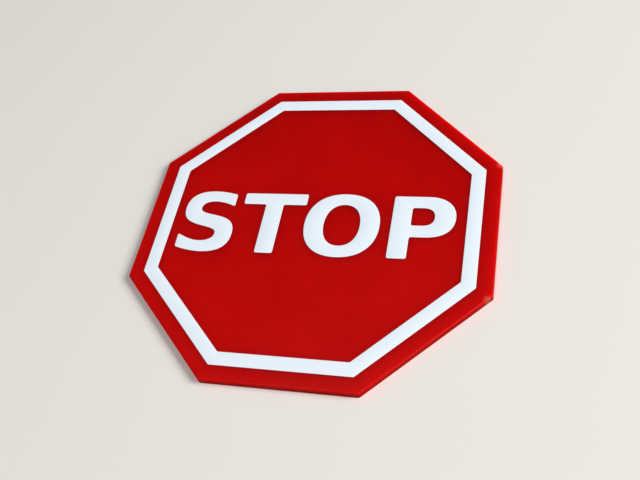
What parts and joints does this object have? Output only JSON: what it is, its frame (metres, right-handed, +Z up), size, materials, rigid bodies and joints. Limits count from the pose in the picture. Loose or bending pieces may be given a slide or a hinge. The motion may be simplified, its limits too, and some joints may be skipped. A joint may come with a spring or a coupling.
{
  "type": "stop sign",
  "caption": "Small flat octagonal stop sign: a red plastic plate with a rounded rim and a slightly raised white border band, lying face up on its flat back.",
  "frame": {"origin": "centre of the plate's flat back, on the surface that the sign lies on", "axes": "+Z up out of the printed face, +Y towards the top of the word on the face, +X towards its right-hand end"},
  "size_m": [0.1, 0.1, 0.0022],
  "materials": {
    "red_plastic": "smooth satin, saturated signal red",
    "white_plastic": "smooth matt, cool white"
  },
  "bodies": {
    "root": {"base_plate": "red_plastic", "border_band": "white_plastic"}
  },
  "joints": []
}
